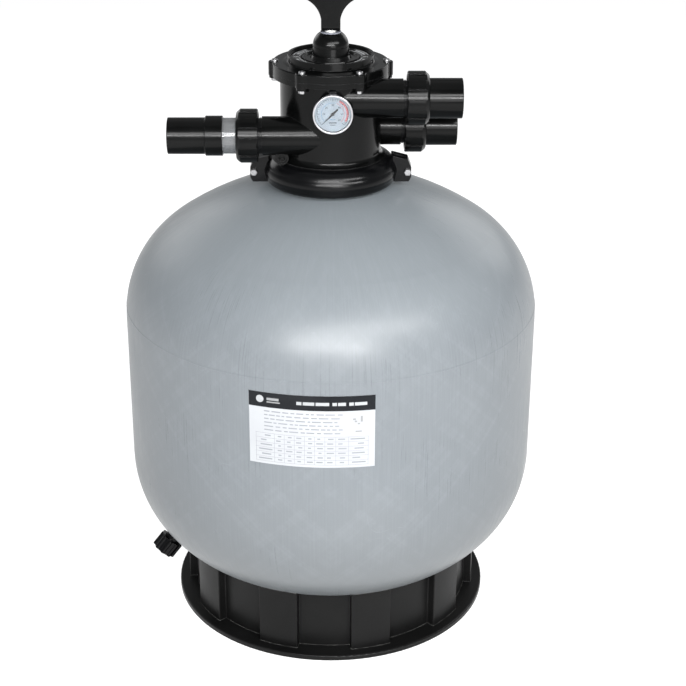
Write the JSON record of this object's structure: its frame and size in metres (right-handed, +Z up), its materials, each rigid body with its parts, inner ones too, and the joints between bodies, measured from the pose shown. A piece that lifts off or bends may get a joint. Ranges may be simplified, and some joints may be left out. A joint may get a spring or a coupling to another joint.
{
  "type": "sand filter tank",
  "caption": "Pool sand filter: round tank on a moulded base, with a top-mounted six-position valve, pressure gauge, union ports, sight glass and drain.",
  "frame": {"origin": "on the floor at the centre of the base, on the tank's axis", "axes": "+Z up along the tank's axis, -Y the front where the gauge and the label face, +X the side of the pump and return ports"},
  "size_m": [0.6269, 0.6271, 0.985],
  "materials": {
    "tank": "satin, wound fibreglass with a smooth outer coat",
    "black_gloss": "gloss moulded",
    "black_satin": "satin moulded",
    "black_matte": "matte moulded",
    "label": "printed film",
    "plate": "printed film",
    "steel": "bright stainless",
    "spring_steel": "drawn wire",
    "rubber": "moulded rubber",
    "inner_plastic": "moulded, hidden",
    "pale_plastic": "low friction plastic",
    "clear": "clear moulded plastic",
    "lens": "clear",
    "bezel": "polished",
    "dial": "printed",
    "needle": "black",
    "brass": "machined"
  },
  "bodies": {
    "root": {"bourdon_tube": "brass", "clamp_bolts": "steel", "clamp_front": "black_satin", "clamp_nuts": "steel", "clamp_rear": "black_satin", "cover_bolts": "steel", "cover_nuts": "steel", "cover_seal": "rubber", "drain_gasket": "rubber", "drain_nut": "black_satin", "drain_spigot": "black_satin", "drain_strainer": "inner_plastic", "gauge_bezel": "bezel", "gauge_case": "black_satin", "gauge_dial": "dial", "gauge_lens": "lens", "gauge_stem": "brass", "lateral_1": "inner_plastic", "lateral_2": "inner_plastic", "lateral_3": "inner_plastic", "lateral_4": "inner_plastic", "lateral_5": "inner_plastic", "lateral_6": "inner_plastic", "lateral_7": "inner_plastic", "lateral_8": "inner_plastic", "lateral_hub": "inner_plastic", "neck_seal": "rubber", "port_plug": "black_gloss", "position_plate": "plate", "spec_label": "label", "spider_gasket": "rubber", "spring_washer": "steel", "standpipe": "inner_plastic", "standpipe_seal": "rubber", "stem_seals": "rubber", "tank_base": "black_matte", "tank_neck": "black_satin", "tank_shell": "tank", "thrust_washer": "pale_plastic", "top_diffuser": "inner_plastic", "valve_body": "black_gloss", "valve_cover": "black_gloss"},
    "spring_set": {"slip_washer": "pale_plastic", "rotor_spring": "spring_steel"},
    "rotor": {"rotor": "inner_plastic", "handle_pin": "steel"},
    "handle": {"handle": "black_gloss"},
    "gauge_needle": {"gauge_needle": "needle"},
    "pump_tail": {"pump_tail": "black_gloss", "pump_seal": "rubber"},
    "pump_nut": {"pump_union_nut": "black_gloss"},
    "return_tail": {"return_tail": "black_gloss", "return_seal": "rubber"},
    "return_nut": {"return_union_nut": "black_gloss"},
    "waste_tail": {"sight_glass": "clear", "waste_adapter": "black_gloss", "waste_seal": "rubber"},
    "waste_nut": {"waste_union_nut": "black_gloss"},
    "drain_seal": {"drain_cap_seal": "rubber"},
    "drain_cap": {"drain_cap": "black_satin"}
  },
  "joints": [
    {"name": "rotor_lift", "type": "slide", "parent": "root", "child": "spring_set", "axis": [0, 0, 1], "range_m": [0, 0.006], "stiffness_N_per_m": 900, "springref_m": -0.02, "deforming": ["rotor_spring"]},
    {"name": "rotor_turn", "type": "hinge", "parent": "spring_set", "child": "rotor", "pos_m": [0, 0, 0.85], "axis": [0, 0, 1], "continuous": true},
    {"name": "handle_tilt", "type": "hinge", "parent": "rotor", "child": "handle", "pos_m": [0, 0, 0.924], "axis": [-1, 0, 0], "range_deg": [0, 60]},
    {"name": "needle_turn", "type": "hinge", "parent": "root", "child": "gauge_needle", "pos_m": [0.003, -0.084, 0.815], "axis": [0, 1, 0], "range_deg": [0, 270], "stiffness_Nm_per_rad": 0.0005, "springref_deg": -17.19},
    {"name": "pump_tail_slide", "type": "slide", "parent": "root", "child": "pump_tail", "axis": [1, 0, 0], "range_m": [0, 0.0161]},
    {"name": "pump_nut_turn", "type": "hinge", "parent": "pump_tail", "child": "pump_nut", "pos_m": [0.1285, -0.045, 0.827], "axis": [1, 0, 0], "range_deg": [0, 1440]},
    {"name": "return_tail_slide", "type": "slide", "parent": "root", "child": "return_tail", "axis": [1, 0, 0], "range_m": [0, 0.0161]},
    {"name": "return_nut_turn", "type": "hinge", "parent": "return_tail", "child": "return_nut", "pos_m": [0.129, 0.037, 0.7615], "axis": [1, 0, 0], "range_deg": [0, 1440]},
    {"name": "waste_tail_slide", "type": "slide", "parent": "root", "child": "waste_tail", "axis": [-1, 0, 0], "range_m": [0, 0.0161]},
    {"name": "waste_nut_turn", "type": "hinge", "parent": "waste_tail", "child": "waste_nut", "pos_m": [-0.124, -0.0445, 0.771], "axis": [-1, 0, 0], "range_deg": [0, 1440]},
    {"name": "drain_cap_slide", "type": "slide", "parent": "root", "child": "drain_seal", "axis": [-0.6209, -0.1664, -0.766], "range_m": [0, 0.0201]},
    {"name": "drain_cap_turn", "type": "hinge", "parent": "drain_seal", "child": "drain_cap", "pos_m": [-0.24347, -0.06524, 0.12094], "axis": [-0.6209, -0.1664, -0.766], "range_deg": [0, 1800]}
  ],
  "couplings": [
    {"joint": "handle_tilt", "follows": "rotor_lift", "rad_per_m": 174.53},
    {"joint": "pump_tail_slide", "follows": "pump_nut_turn", "m_per_rad": 0.00063662},
    {"joint": "return_tail_slide", "follows": "return_nut_turn", "m_per_rad": 0.00063662},
    {"joint": "waste_tail_slide", "follows": "waste_nut_turn", "m_per_rad": 0.00063662},
    {"joint": "drain_cap_slide", "follows": "drain_cap_turn", "m_per_rad": 0.00063662}
  ]
}
